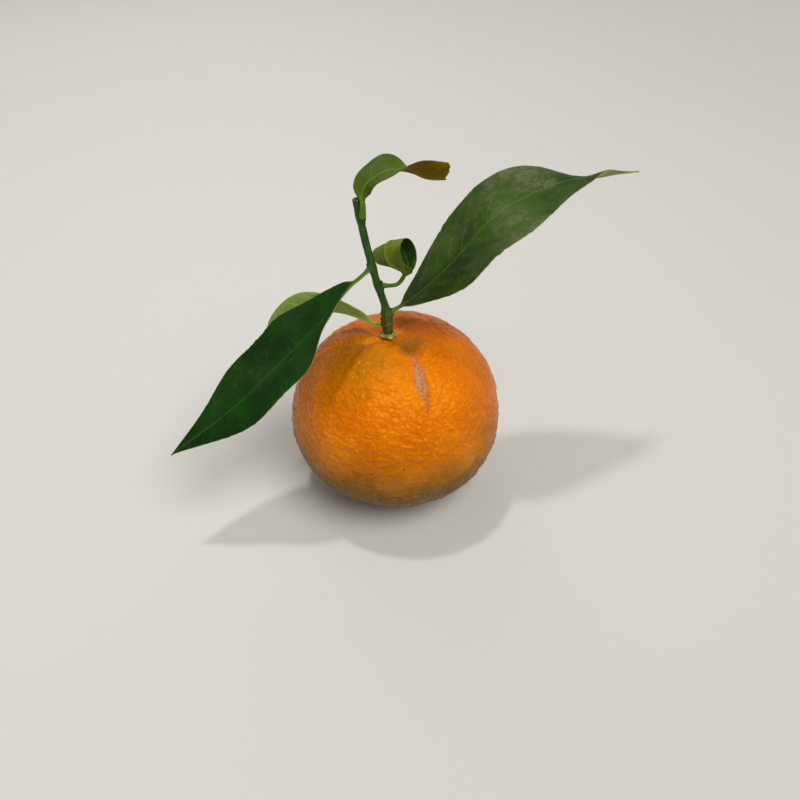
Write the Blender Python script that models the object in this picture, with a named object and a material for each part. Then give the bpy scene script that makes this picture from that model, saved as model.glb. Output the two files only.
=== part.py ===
"""A clementine as picked: the fruit, its calyx, a cut length of twig and the five leaves on it.

The fruit stands upright on the small flat under it. The origin is the middle of that flat, +Z is up, and
the largest leaf grows towards +X. Lengths below are in millimetres and angles in degrees.
"""

import math

import bmesh
import bpy
import numpy as np
from mathutils import Vector

MM = 0.001
SHARP_ANGLE = 50.0
CURVE_SAMPLES = 401

# Fruit
FRUIT_RADIUS = 31.0
FRUIT_HALF_HEIGHT = 28.4
FRUIT_CENTRE_Z = 27.5
FRUIT_FULLNESS = 0.86
FRUIT_MERIDIANS = 64
FRUIT_ROWS = 34
STEM_END_X = -1.6
DIMPLE_DEPTH = 0.9
DIMPLE_RADIUS = 6.5
FURROWS = 7
FURROW_DEPTH = 0.3
FURROW_RADIUS = 8.0
FURROW_SPREAD = 4.0
# Each press is a direction from the fruit's centre, how far the rind stands out there, and its spread.
PRESSES = (
    ((-0.64, 0.51, 0.57), -1.2, 45.0),
    ((0.0, -0.67, -0.74), -1.9, 45.0),
    ((0.64, -0.51, -0.57), 0.3, 45.0),
    ((0.0, 0.0, -1.0), 0.8, 30.0),
)

# Calyx
CALYX_RADIUS = 2.6
CALYX_THICKNESS = 1.1
CALYX_LOBES = 5
CALYX_LOBE_DEPTH = 0.13
CALYX_Z = 55.7

# Stem: its line from the calyx to the cut end, and how thick it is on the way
STEM_LINE = (
    (-1.6, 0.0, 56.6),
    (-2.0, 0.0, 62.9),
    (-3.9, 0.0, 70.6),
    (-5.7, 0.0, 78.2),
    (-7.3, 0.0, 86.1),
    (-8.4, 0.0, 92.8),
    (-8.9, 0.0, 95.6),
)
STEM_STATIONS = 40
WOODY_RADIUS = 1.5
GREEN_RADIUS = 1.05
WOODY_TOP_Z = 62.5
WOODY_TAPER = 3.0
NODE_SWELLING = 0.22
NODE_SPREAD = 1.3
KNUCKLE_RADIUS = 0.85
KNUCKLE_SINK = 0.25

# Where each leaf leaves the stem: the height, and the way that it points seen from above
LEAF_NODES = {
    "leaf_low": (59.6, (-0.98, 0.2)),
    "leaf_right": (62.7, (0.95, 0.31)),
    "leaf_curled": (71.4, (0.95, 0.3)),
    "leaf_left": (77.0, (-0.9, -0.43)),
    "leaf_top": (91.6, (0.85, -0.5)),
}

# Leaves
GAP = 0.3
BLADE_THICKNESS = 0.65
SMALLEST_HALF_WIDTH = 0.3
PETIOLE_RADIUS = 0.6
PETIOLE_FOOT_RADIUS = 0.75
PETIOLE_FOOT_LENGTH = 1.5
OPENING_LENGTH = 4.0
RIB_DEPTH = 0.45
FOLD_ROUNDING = 0.1
# The two edges of a leaf don't wave together: the share of a wave between them
EDGE_LAG = 0.31
LEAF_STATIONS = 34
LEAF_ACROSS = 6

# The curled leaf's roll: its axis and the way up across it, its size, where round the axis it starts and
# ends, how far it winds along the axis, and how much it widens towards its open end
LOOP_AXIS = (0.82, -0.4235, 0.381)
LOOP_UP = (0.0, 0.669, 0.743)
LOOP_CENTRE = (4.1, 5.3, 77.5)
LOOP_RADIUS = 5.0
LOOP_END_RADIUS = 4.6
LOOP_START = -65.0
LOOP_END = 250.0
LOOP_PITCH = 1.2
LOOP_FLARE = 0.18
LOOP_POINTS = 12
CURLED_WIDTH = 10.0
CURLED_OUTLINE = (0.36, 0.45)


def smooth_step(value):
    """0 below 0, 1 above 1, and smooth between."""
    share = min(1.0, max(0.0, value))
    return share * share * (3.0 - 2.0 * share)


def curve_through(knots):
    """A function of 0 to 1 that runs smoothly through the knots, a natural cubic spline by chord length."""
    knots = np.array(knots, float)
    chords = np.linalg.norm(np.diff(knots[:, :3], axis=0), axis=1)
    places = np.concatenate([[0.0], np.cumsum(chords)]) / chords.sum()
    steps = np.diff(places)
    count = len(knots)
    system = np.eye(count)
    slopes = np.zeros_like(knots)
    for i in range(1, count - 1):
        system[i, i - 1 : i + 2] = (steps[i - 1], 2.0 * (steps[i - 1] + steps[i]), steps[i])
        rise_after = (knots[i + 1] - knots[i]) / steps[i]
        rise_before = (knots[i] - knots[i - 1]) / steps[i - 1]
        slopes[i] = 6.0 * (rise_after - rise_before)
    bends = np.linalg.solve(system, slopes)

    def point(share):
        i = int(np.clip(np.searchsorted(places, share) - 1, 0, count - 2))
        step = steps[i]
        before = (places[i + 1] - share) / step
        after = (share - places[i]) / step
        curved = (before**3 - before) * bends[i] + (after**3 - after) * bends[i + 1]
        return before * knots[i] + after * knots[i + 1] + curved * step * step / 6.0

    return point


def stations_along(knots, count):
    """count + 1 evenly spaced rows along the curve through the knots, and the curve's length."""
    curve = curve_through(knots)
    fine = np.array([curve(share) for share in np.linspace(0.0, 1.0, CURVE_SAMPLES)])
    lengths = np.concatenate([[0.0], np.cumsum(np.linalg.norm(np.diff(fine[:, :3], axis=0), axis=1))])
    even = np.linspace(0.0, lengths[-1], count + 1)
    rows = np.column_stack([np.interp(even, lengths, column) for column in fine.T])
    return rows, lengths[-1]


def new_material(name, colour, roughness):
    material = bpy.data.materials.new(name)
    material.use_nodes = True
    shader = material.node_tree.nodes["Principled BSDF"]
    shader.inputs["Base Color"].default_value = (*colour, 1.0)
    shader.inputs["Roughness"].default_value = roughness
    shader.inputs["Metallic"].default_value = 0.0
    material.diffuse_color = (*colour, 1.0)
    return material


def add_object(name, mesh, material):
    mesh.materials.append(material)
    piece = bpy.data.objects.new(name, mesh)
    bpy.context.scene.collection.objects.link(piece)
    return piece


def finish_mesh(name, bm):
    """The bmesh, in millimetres, as a smooth shaded mesh in metres."""
    bmesh.ops.scale(bm, vec=(MM, MM, MM), verts=bm.verts)
    mesh = bpy.data.meshes.new(name)
    bm.to_mesh(mesh)
    bm.free()
    mesh.shade_smooth()
    mesh.set_sharp_from_angle(angle=math.radians(SHARP_ANGLE))
    return mesh


def fruit_point(direction):
    """Where the rind is, for a unit direction from the fruit's centre."""
    level = math.hypot(direction.x, direction.y)
    spread = level**FRUIT_FULLNESS / max(level, 1e-9)
    point = Vector((direction.x * spread, direction.y * spread, 0.0)) * FRUIT_RADIUS
    point.z = FRUIT_CENTRE_Z + FRUIT_HALF_HEIGHT * direction.z
    for toward, proud, width in PRESSES:
        angle = math.degrees(direction.angle(Vector(toward)))
        point += direction * proud * math.exp(-((angle / width) ** 2))
    if direction.z > 0.0:
        away = math.hypot(point.x - STEM_END_X, point.y)
        around = math.atan2(point.y, point.x - STEM_END_X)
        point.z -= DIMPLE_DEPTH * math.exp(-((away / DIMPLE_RADIUS) ** 2))
        furrow_window = math.exp(-(((away - FURROW_RADIUS) / FURROW_SPREAD) ** 2))
        point.z -= FURROW_DEPTH * furrow_window * (0.5 + 0.5 * math.cos(FURROWS * around))
    point.z = max(0.0, point.z)
    return point


def make_fruit():
    """The whole fruit in its rind, with a dimple and furrows at the stem end and a flat spot under it."""
    bm = bmesh.new()
    bmesh.ops.create_uvsphere(bm, u_segments=FRUIT_MERIDIANS, v_segments=FRUIT_ROWS, radius=1.0)
    for vertex in bm.verts:
        vertex.co = fruit_point(vertex.co.normalized())
    add_object("fruit", finish_mesh("fruit", bm), new_material("rind", (0.83, 0.25, 0.01), 0.38))


def make_calyx():
    """The lobed green disc between the fruit and the stem."""
    bm = bmesh.new()
    bmesh.ops.create_uvsphere(bm, u_segments=30, v_segments=8, radius=1.0)
    for vertex in bm.verts:
        around = math.atan2(vertex.co.y, vertex.co.x)
        level = math.hypot(vertex.co.x, vertex.co.y)
        reach = CALYX_RADIUS * (1.0 + CALYX_LOBE_DEPTH * math.cos(CALYX_LOBES * around)) * level**0.6
        height = 0.5 * CALYX_THICKNESS * vertex.co.z
        vertex.co = (STEM_END_X + reach * math.cos(around), reach * math.sin(around), CALYX_Z + height)
    add_object("calyx", finish_mesh("calyx", bm), new_material("calyx green", (0.27, 0.36, 0.05), 0.6))


def stem_axis(height):
    """The stem's middle at a height."""
    heights = [point[2] for point in STEM_LINE]
    return Vector((np.interp(height, heights, [point[0] for point in STEM_LINE]), 0.0, height))


def stem_radius(height):
    """The stem's radius: thick and woody at the fruit, thinner above, and swollen at each node."""
    woody = 1.0 - smooth_step((height - WOODY_TOP_Z) / WOODY_TAPER)
    radius = GREEN_RADIUS + (WOODY_RADIUS - GREEN_RADIUS) * woody
    for node_height, _ in LEAF_NODES.values():
        radius += NODE_SWELLING * math.exp(-(((height - node_height) / NODE_SPREAD) ** 2))
    return radius


def make_stem():
    """The twig: a tube of changing thickness, with a knuckle under each leaf fused on."""
    rows, _ = stations_along(STEM_LINE, STEM_STATIONS)
    curve = bpy.data.curves.new("stem_line", "CURVE")
    curve.dimensions = "3D"
    curve.bevel_depth = MM
    curve.bevel_resolution = 4
    curve.use_fill_caps = True
    spline = curve.splines.new("POLY")
    spline.points.add(len(rows) - 1)
    for point, row in zip(spline.points, rows):
        point.co = (*(row * MM), 1.0)
        point.radius = stem_radius(row[2])
    tube = bpy.data.objects.new("stem_line", curve)
    bpy.context.scene.collection.objects.link(tube)

    knuckles = bpy.data.collections.new("knuckles")
    bpy.context.scene.collection.children.link(knuckles)
    for height, heading in LEAF_NODES.values():
        bm = bmesh.new()
        bmesh.ops.create_icosphere(bm, subdivisions=2, radius=KNUCKLE_RADIUS)
        outward = Vector((*heading, 0.0)).normalized()
        place = stem_axis(height) + outward * (stem_radius(height) - KNUCKLE_SINK)
        bmesh.ops.translate(bm, verts=bm.verts, vec=place)
        knuckles.objects.link(bpy.data.objects.new("knuckle", finish_mesh("knuckle", bm)))

    graph = bpy.context.evaluated_depsgraph_get()
    mesh = bpy.data.meshes.new_from_object(tube.evaluated_get(graph))
    mesh.name = "stem"
    bm = bmesh.new()
    bm.from_mesh(mesh)
    bmesh.ops.remove_doubles(bm, verts=bm.verts, dist=0.01 * MM)
    bmesh.ops.recalc_face_normals(bm, faces=bm.faces)
    bm.to_mesh(mesh)
    bm.free()
    bpy.data.objects.remove(tube)
    stem = add_object("stem", mesh, new_material("twig bark", (0.10, 0.15, 0.03), 0.6))

    union = stem.modifiers.new("knuckles", "BOOLEAN")
    union.operation = "UNION"
    union.operand_type = "COLLECTION"
    union.collection = knuckles
    union.solver = "EXACT"
    graph = bpy.context.evaluated_depsgraph_get()
    joined = bpy.data.meshes.new_from_object(stem.evaluated_get(graph))
    stem.modifiers.clear()
    stem.data = joined
    for helper in list(knuckles.objects):
        bpy.data.objects.remove(helper)
    bpy.data.collections.remove(knuckles)
    joined.name = "stem"
    joined.shade_smooth()
    joined.set_sharp_from_angle(angle=math.radians(SHARP_ANGLE))


def outline_share(share, outline):
    """A leaf's width at a share of its blade, as a part of its full width.

    outline is where along the blade it is widest, and how slim it is: a slimmer one has a longer drip tip."""
    widest_at, slimness = outline
    rise = (share / widest_at) ** slimness
    return rise * ((1.0 - share) / (1.0 - widest_at)) ** (slimness * (1.0 - widest_at) / widest_at)


def leaf_frames(knots):
    """The midrib's stations, each a place, the way on, the way across and the way the upper face looks."""
    rows, length = stations_along(knots, LEAF_STATIONS)
    places = rows[:, :3]
    onward = np.gradient(places, axis=0)
    onward /= np.linalg.norm(onward, axis=1)[:, None]
    facing = rows[:, 3:]
    facing = facing - onward * (facing * onward).sum(axis=1)[:, None]
    facing /= np.linalg.norm(facing, axis=1)[:, None]
    sideways = np.cross(facing, onward)
    return places, onward, sideways, facing, length


def section_point(leaf, distance, length, across, side):
    """(across, up) of a leaf's section: a round petiole that opens into a folded, waved blade.

    across runs from -1 to 1 over the leaf, and side is 1 on its upper face and -1 on its lower one."""
    petiole = leaf["petiole"]
    foot = 1.0 - smooth_step(distance / PETIOLE_FOOT_LENGTH)
    round_radius = PETIOLE_RADIUS + (PETIOLE_FOOT_RADIUS - PETIOLE_RADIUS) * foot
    turn = 0.5 * math.pi * across
    round_across = round_radius * math.sin(turn)
    round_up = side * max(SMALLEST_HALF_WIDTH, round_radius * math.cos(turn))

    along = min(1.0, max(0.0, (distance - petiole) / (length - petiole))) * leaf["kept"]
    half_width = max(SMALLEST_HALF_WIDTH, 0.5 * leaf["width"] * outline_share(along, leaf["outline"]))
    fold = math.radians(leaf["fold"][0] * (1.0 - along) + leaf["fold"][1] * along)
    waves, height, start = leaf["wave"]
    phase = 2.0 * math.pi * (waves * along + start + (EDGE_LAG if across > 0.0 else 0.0))
    lift = half_width * math.sin(fold) * (math.hypot(across, FOLD_ROUNDING) - FOLD_ROUNDING)
    lift += height * across * across * math.sin(phase) * min(1.0, 2.0 * half_width / leaf["width"])
    rib = 0.0
    if side < 0.0 and abs(across) < 1.0 / LEAF_ACROSS:
        rib = RIB_DEPTH * (1.0 - along)
    blade_up = lift + 0.5 * side * BLADE_THICKNESS - rib
    blade_across = half_width * math.cos(fold) * across

    opened = smooth_step((distance - petiole + 1.0) / OPENING_LENGTH)
    return (
        round_across + (blade_across - round_across) * opened,
        round_up + (blade_up - round_up) * opened,
    )


def make_leaf(name, leaf, material):
    """A leaf: a slab of triangles, alike on both faces, laid along the midrib."""
    height, heading = LEAF_NODES[name]
    outward = Vector((*heading, 0.0)).normalized()
    reach = stem_radius(height) - KNUCKLE_SINK + KNUCKLE_RADIUS + GAP + leaf["foot_out"]
    foot = stem_axis(height) + outward * reach + Vector((0.0, 0.0, leaf["foot_rise"]))
    knots = [(*foot, *leaf["knots"][0][3:])] + list(leaf["knots"])
    places, onward, sideways, facing, length = leaf_frames(knots)
    if leaf["rolled"]:
        for station in range(LEAF_STATIONS + 1):
            opened = smooth_step((length * station / LEAF_STATIONS - leaf["petiole"]) / OPENING_LENGTH)
            along_roll = np.array(LOOP_AXIS) - LOOP_FLARE * facing[station]
            sideways[station] += (along_roll - sideways[station]) * opened

    bm = bmesh.new()
    bmesh.ops.create_grid(bm, x_segments=LEAF_STATIONS, y_segments=LEAF_ACROSS, size=1.0)
    bmesh.ops.triangulate(bm, faces=bm.faces[:], quad_method="FIXED")
    upper = bmesh.ops.extrude_face_region(bm, geom=bm.faces[:])["geom"]
    upper_vertices = [element for element in upper if isinstance(element, bmesh.types.BMVert)]
    bmesh.ops.translate(bm, verts=upper_vertices, vec=(0.0, 0.0, 1.0))
    bmesh.ops.recalc_face_normals(bm, faces=bm.faces)
    for vertex in bm.verts:
        station = round(0.5 * (vertex.co.x + 1.0) * LEAF_STATIONS)
        side = 1.0 if vertex.co.z > 0.5 else -1.0
        distance = length * station / LEAF_STATIONS
        offset, up = section_point(leaf, distance, length, vertex.co.y, side)
        place = places[station] + sideways[station] * offset + facing[station] * up
        if station == LEAF_STATIONS:
            place = place - onward[station] * leaf["torn"] * (0.5 + 0.5 * math.sin(4.0 * vertex.co.y + 1.0))
        vertex.co = place
    add_object(name, finish_mesh(name, bm), material)


def loop_knots():
    """The curled leaf's midrib after its petiole: nearly a full turn round the roll's axis.

    One edge stays close to a plane across the axis, so the midrib keeps half the leaf's width from it."""
    axis = Vector(LOOP_AXIS).normalized()
    up = Vector(LOOP_UP).normalized()
    near = axis.cross(up)
    knots = []
    for i in range(LOOP_POINTS + 1):
        share = i / LOOP_POINTS
        turn = math.radians(LOOP_START + (LOOP_END - LOOP_START) * share)
        radius = LOOP_RADIUS + (LOOP_END_RADIUS - LOOP_RADIUS) * share
        outward = near * math.cos(turn) + up * math.sin(turn)
        half_width = 0.5 * CURLED_WIDTH * outline_share(share, CURLED_OUTLINE)
        back = half_width + LOOP_PITCH * share * share
        place = Vector(LOOP_CENTRE) + outward * (radius - LOOP_FLARE * half_width) - axis * back
        knots.append((*place, *(-outward)))
    return knots


# Each leaf: its width, where it is widest with its slimness, petiole length, the fold of its halves at base
# and tip, the waves along each edge with their height and start, the share of the blade that is left, how
# ragged its end is, how far its foot is moved up and out at the stem, whether it is rolled, and the
# midrib's knots. A knot is a place followed by the way that the upper face looks there.
LEVEL = (0.0, 0.0, 1.0)
LEAVES = {
    "leaf_right": {
        "width": 25.5,
        "outline": (0.37, 1.0),
        "petiole": 3.0,
        "fold": (5.0, -2.0),
        "wave": (3.0, 0.7, 0.1),
        "kept": 1.0,
        "torn": 0.0,
        "foot_rise": 0.0,
        "foot_out": 0.0,
        "rolled": False,
        "knots": (
            (2.2, 1.3, 64.5, *LEVEL),
            (9.6, 3.7, 69.8, *LEVEL),
            (16.6, 6.0, 75.5, *LEVEL),
            (22.2, 7.8, 81.6, *LEVEL),
            (26.9, 9.3, 85.6, *LEVEL),
            (32.6, 11.2, 88.4, *LEVEL),
            (39.7, 13.5, 91.2, 0.0, 0.1, 1.0),
            (46.5, 15.7, 92.9, 0.0, 0.25, 1.0),
            (52.5, 17.7, 93.6, 0.0, 0.65, 0.75),
            (58.4, 19.6, 93.3, 0.0, 0.78, 0.6),
            (64.4, 21.5, 92.8, 0.0, 0.8, 0.55),
        ),
    },
    "leaf_left": {
        "width": 23.0,
        "outline": (0.42, 0.85),
        "petiole": 5.0,
        "fold": (22.0, 0.0),
        "wave": (2.5, 0.7, 0.6),
        "kept": 1.0,
        "torn": 0.0,
        "foot_rise": -0.3,
        "foot_out": 0.0,
        "rolled": False,
        "knots": (
            (-8.7, -1.2, 74.6, -0.8, -0.1, 0.5),
            (-10.6, -1.8, 73.2, -0.8, -0.1, 0.5),
            (-14.8, -3.7, 68.8, -0.7, -0.15, 0.6),
            (-20.0, -6.2, 62.9, -0.5, -0.1, 0.8),
            (-24.8, -8.5, 58.8, -0.1, -0.1, 1.0),
            (-31.1, -11.5, 53.6, 0.0, -0.1, 1.0),
            (-39.8, -15.5, 46.2, 0.05, -0.2, 1.0),
            (-48.6, -19.6, 40.3, 0.05, -0.2, 1.0),
            (-55.7, -23.0, 36.4, 0.05, -0.2, 1.0),
            (-60.1, -25.0, 33.9, 0.05, -0.2, 1.0),
        ),
    },
    "leaf_top": {
        "width": 11.5,
        "outline": (0.42, 0.8),
        "petiole": 4.0,
        "fold": (15.0, 28.0),
        "wave": (1.5, 0.2, 0.3),
        "kept": 0.72,
        "torn": 1.0,
        "foot_rise": 0.4,
        "foot_out": 0.25,
        "rolled": False,
        "knots": (
            (-6.6, -0.8, 94.2, -0.1, -0.74, 0.67),
            (-6.9, -0.4, 96.6, -0.2, -0.7, 0.67),
            (-6.5, 0.2, 98.9, -0.3, -0.5, 0.75),
            (-4.3, 0.8, 100.5, -0.2, -0.1, 1.0),
            (-1.9, 1.3, 101.4, 0.0, 0.12, 1.0),
            (0.7, 1.9, 101.8, 0.0, 0.3, 0.95),
            (4.2, 2.6, 101.6, 0.0, 0.6, 0.8),
            (8.7, 3.5, 100.3, 0.0, 0.73, 0.68),
            (13.3, 4.5, 99.9, 0.0, 0.8, 0.6),
        ),
    },
    "leaf_curled": {
        "width": CURLED_WIDTH,
        "outline": CURLED_OUTLINE,
        "petiole": 8.0,
        "fold": (6.0, 4.0),
        "wave": (1.5, 0.3, 0.2),
        "kept": 1.0,
        "torn": 0.0,
        "foot_rise": 0.0,
        "foot_out": 0.0,
        "rolled": True,
        "knots": (
            (-1.0, 0.6, 71.1, 0.24, 0.86, 0.44),
            (1.0, 1.2, 71.2, 0.24, 0.86, 0.44),
            (2.4, 1.5, 72.9, 0.24, 0.86, 0.44),
            *loop_knots(),
        ),
    },
    "leaf_low": {
        "width": 14.0,
        "outline": (0.5, 1.2),
        "petiole": 3.0,
        "fold": (34.0, 8.0),
        "wave": (2.0, 0.5, 0.0),
        "kept": 1.0,
        "torn": 0.0,
        "foot_rise": -0.3,
        "foot_out": 0.0,
        "rolled": False,
        "knots": (
            (-5.0, 0.6, 59.0, 0.2, 0.67, 0.74),
            (-7.9, 1.2, 59.9, 0.2, 0.67, 0.74),
            (-11.4, 1.9, 61.0, 0.2, 0.7, 0.74),
            (-15.2, 2.7, 61.5, 0.2, 0.8, 0.65),
            (-20.6, 3.9, 60.6, 0.2, 0.8, 0.55),
            (-27.0, 5.2, 58.0, 0.2, 0.8, 0.5),
            (-33.4, 6.6, 53.0, 0.2, 0.8, 0.5),
            (-38.4, 7.7, 47.0, 0.2, 0.8, 0.5),
        ),
    },
}


def main():
    for leftover in list(bpy.data.objects):
        bpy.data.objects.remove(leftover)
    make_fruit()
    make_calyx()
    make_stem()
    dark = new_material("leaf green", (0.03, 0.11, 0.015), 0.4)
    young = new_material("young leaf green", (0.12, 0.22, 0.03), 0.45)
    for name, leaf in LEAVES.items():
        make_leaf(name, leaf, dark if name in ("leaf_right", "leaf_left") else young)


main()
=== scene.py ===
import math

import bmesh
import bpy
import numpy as np
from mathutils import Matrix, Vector, noise


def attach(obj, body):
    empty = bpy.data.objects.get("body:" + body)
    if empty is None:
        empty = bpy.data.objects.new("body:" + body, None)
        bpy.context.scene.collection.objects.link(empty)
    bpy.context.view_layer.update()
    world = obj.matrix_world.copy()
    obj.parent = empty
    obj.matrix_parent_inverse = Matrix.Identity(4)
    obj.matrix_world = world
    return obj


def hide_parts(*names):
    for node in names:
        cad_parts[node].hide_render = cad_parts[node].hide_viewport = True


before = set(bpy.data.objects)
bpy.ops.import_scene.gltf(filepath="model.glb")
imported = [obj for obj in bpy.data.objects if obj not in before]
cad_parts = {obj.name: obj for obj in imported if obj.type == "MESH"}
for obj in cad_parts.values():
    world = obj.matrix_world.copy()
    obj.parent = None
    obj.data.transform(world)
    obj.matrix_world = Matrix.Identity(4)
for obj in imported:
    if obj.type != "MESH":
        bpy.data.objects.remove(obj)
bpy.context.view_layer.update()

bl_info = {
    "name": "Clementine with leaves",
    "version": (1, 0, 0),
    "blender": (4, 5, 0),
    "location": "3D View > Sidebar > Clementine",
    "description": "Builds a clementine with its calyx, a cut twig and five leaves",
    "category": "Add Mesh",
}

MM = 0.001


def linear(colour):
    """An sRGB hex colour as linear red, green and blue."""
    values = [int(colour[i : i + 2], 16) / 255.0 for i in (1, 3, 5)]
    return tuple(v / 12.92 if v <= 0.04045 else ((v + 0.055) / 1.055) ** 2.4 for v in values)


# The fruit's form in millimetres: the same one as the solid's
FRUIT_RADIUS = 31.0
FRUIT_HALF_HEIGHT = 28.4
FRUIT_CENTRE_Z = 27.5
FRUIT_FULLNESS = 0.86
STEM_END = np.array([-1.6, 0.0, 54.8])
DIMPLE_DEPTH = 0.9
DIMPLE_RADIUS = 6.5
FURROWS = 7
FURROW_DEPTH = 0.3
FURROW_RADIUS = 8.0
FURROW_SPREAD = 4.0
PRESSES = (
    ((-0.64, 0.51, 0.57), -1.2, 45.0),
    ((0.0, -0.67, -0.74), -1.9, 45.0),
    ((0.64, -0.51, -0.57), 0.3, 45.0),
    ((0.0, 0.0, -1.0), 0.8, 30.0),
)
# Lines on the rind: the rubbed scar, the crease that starts at the calyx, and the shallow fold on the left
SCAR_LINE = (
    (4.6, -6.9, 54.7),
    (5.6, -10.2, 54.2),
    (6.6, -13.2, 53.1),
    (7.1, -15.7, 51.9),
    (7.6, -18.1, 50.4),
    (8.7, -20.4, 48.4),
)
SCAR_WIDTHS = (0.2, 0.8, 1.45, 1.75, 1.2, 0.2)
CREASE_LINE = (
    (-0.6, -1.6, 54.7),
    (1.1, -2.4, 54.9),
    (2.7, -4.7, 54.9),
    (4.4, -6.9, 54.7),
    (7.0, -11.4, 53.6),
    (8.6, -15.7, 51.6),
    (9.1, -18.9, 49.3),
    (9.3, -21.6, 47.0),
)
FOLD_LINE = (
    (-14.5, -1.0, 52.4),
    (-20.2, -1.6, 48.8),
    (-23.7, -6.8, 44.9),
    (-24.9, -11.2, 41.4),
    (-25.5, -13.7, 37.6),
    (-25.6, -15.4, 33.0),
)

# The twig's line and thickness in millimetres, the same as the solid's
STEM_LINE = (
    (-1.6, 0.0, 55.6),
    (-1.7, 0.0, 57.2),
    (-2.0, 0.0, 62.9),
    (-3.9, 0.0, 70.6),
    (-5.7, 0.0, 78.2),
    (-7.3, 0.0, 86.1),
    (-8.4, 0.0, 92.8),
    (-8.9, 0.0, 95.6),
)
CUT_Z = STEM_LINE[-1][2]
# Where an earlier pair of leaves fell
RING_SCAR_Z = 88.6
WOODY_RADIUS = 1.42
GREEN_RADIUS = 1.0
WOODY_TOP_Z = 62.5
LEAF_NODES = {
    "leaf_low": (59.6, (-0.98, 0.2)),
    "leaf_right": (62.7, (0.95, 0.31)),
    "leaf_curled": (71.4, (0.95, 0.3)),
    "leaf_left": (77.0, (-0.9, -0.43)),
    "leaf_top": (91.2, (0.85, -0.5)),
}
# Half a bud's width, depth and height
BUD_HALF = (0.42, 0.32, 0.55)

# The calyx in millimetres: its lobes, their reach, how far it is squeezed from front to back, its middle's height
CALYX_LOBES = 5
CALYX_REACH = 2.35
CALYX_SQUEEZE = 0.84
CALYX_Z = 55.55

# The way that a leaf's upper face looks where it lies level
LEVEL = (0.0, 0.0, 1.0)
# How the side veins run, in millimetres: their slant and bend, and half the stagger between the blade's two sides
VEIN_SLANT = 0.7
VEIN_BEND = 0.035
VEIN_STAGGER = 1.7

# The photograph's view: how far down the camera looks, its lens, and the point that it looks at in millimetres
CAMERA_DOWN = math.radians(42.0)
CAMERA_LENS = 32.49
CAMERA_AIM = (1.6, 0.0, 28.0)
CAMERA_RISE = 2.5

# Where the main light comes from, and how wide it looks, in degrees
KEY_FROM = (0.34, -0.4, 0.85)
KEY_WIDTH = 34.0
# The other lights, in metres: place, width and power. The top one is small and bright, so the glands sparkle
LIGHTS = {
    "top": ((-0.1, 0.04, 0.58), 0.036, 0.9),
    "fill": ((-0.4, -0.4, 0.45), 0.4, 0.3),
    "back": ((-0.2, 0.55, 0.45), 0.4, 0.5),
}
LIGHTS_AIM = (0.0, 0.0, 0.04)
LIGHT_COLOUR = "#fffdf8"
# How strongly the walls light the object, and how bright the camera sees them
WALL_LIGHT = 0.2
WALL_SEEN = 0.66


def smooth_step(value):
    """0 below 0, 1 above 1, and smooth between."""
    share = np.clip(value, 0.0, 1.0)
    return share * share * (3.0 - 2.0 * share)


def curve_through(knots):
    """A function of 0 to 1 that runs smoothly through the knots, a natural cubic spline by chord length."""
    knots = np.array(knots, float)
    chords = np.linalg.norm(np.diff(knots[:, :3], axis=0), axis=1)
    places = np.concatenate([[0.0], np.cumsum(chords)]) / chords.sum()
    steps = np.diff(places)
    count = len(knots)
    system = np.eye(count)
    slopes = np.zeros_like(knots)
    for i in range(1, count - 1):
        system[i, i - 1 : i + 2] = (steps[i - 1], 2.0 * (steps[i - 1] + steps[i]), steps[i])
        slopes[i] = 6.0 * ((knots[i + 1] - knots[i]) / steps[i] - (knots[i] - knots[i - 1]) / steps[i - 1])
    bends = np.linalg.solve(system, slopes)

    def point(share):
        i = int(np.clip(np.searchsorted(places, share) - 1, 0, count - 2))
        step = steps[i]
        before = (places[i + 1] - share) / step
        after = (share - places[i]) / step
        curved = (before**3 - before) * bends[i] + (after**3 - after) * bends[i + 1]
        return before * knots[i] + after * knots[i + 1] + curved * step * step / 6.0

    return point


def stations_along(knots, count):
    """count + 1 evenly spaced rows along the curve through the knots, and the curve's length."""
    curve = curve_through(knots)
    fine = np.array([curve(share) for share in np.linspace(0.0, 1.0, 801)])
    lengths = np.concatenate([[0.0], np.cumsum(np.linalg.norm(np.diff(fine[:, :3], axis=0), axis=1))])
    even = np.linspace(0.0, lengths[-1], count + 1)
    return np.column_stack([np.interp(even, lengths, column) for column in fine.T]), lengths[-1]


def new_piece(name, bm, materials, node, angle=60.0):
    """The bmesh, in millimetres, as a smooth shaded piece that stands for a node of the frame."""
    bmesh.ops.scale(bm, vec=(MM, MM, MM), verts=bm.verts)
    mesh = bpy.data.meshes.new(name)
    bm.to_mesh(mesh)
    bm.free()
    for material in materials:
        mesh.materials.append(material)
    mesh.shade_smooth()
    mesh.set_sharp_from_angle(angle=math.radians(angle))
    piece = bpy.data.objects.new(name, mesh)
    bpy.context.scene.collection.objects.link(piece)
    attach(piece, "root")
    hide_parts(node)
    return piece


# Settings that many nodes share: a smooth step from one value to another, and a mix of two colours
SMOOTH = {"interpolation_type": "SMOOTHSTEP"}
COLOURS = {"data_type": "RGBA", "output": 2}


def new_material(name):
    """A new material, its node tree and its shader."""
    material = bpy.data.materials.new(name)
    material.use_nodes = True
    return material, material.node_tree, material.node_tree.nodes["Principled BSDF"]


def add_node(tree, kind, inputs=None, output=0, **settings):
    """Adds a node and returns one of its outputs. A socket is linked, a hex colour made linear, and the rest set."""
    node = tree.nodes.new("ShaderNode" + kind)
    for name, value in settings.items():
        setattr(node, name, value)
    for key, value in (inputs or {}).items():
        socket = node.inputs[key]
        if isinstance(value, bpy.types.NodeSocket):
            tree.links.new(value, socket)
        elif socket.type == "RGBA":
            socket.default_value = (*(linear(value) if isinstance(value, str) else value), 1.0)
        else:
            socket.default_value = value
    return node.outputs[output]


# Settings

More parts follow.
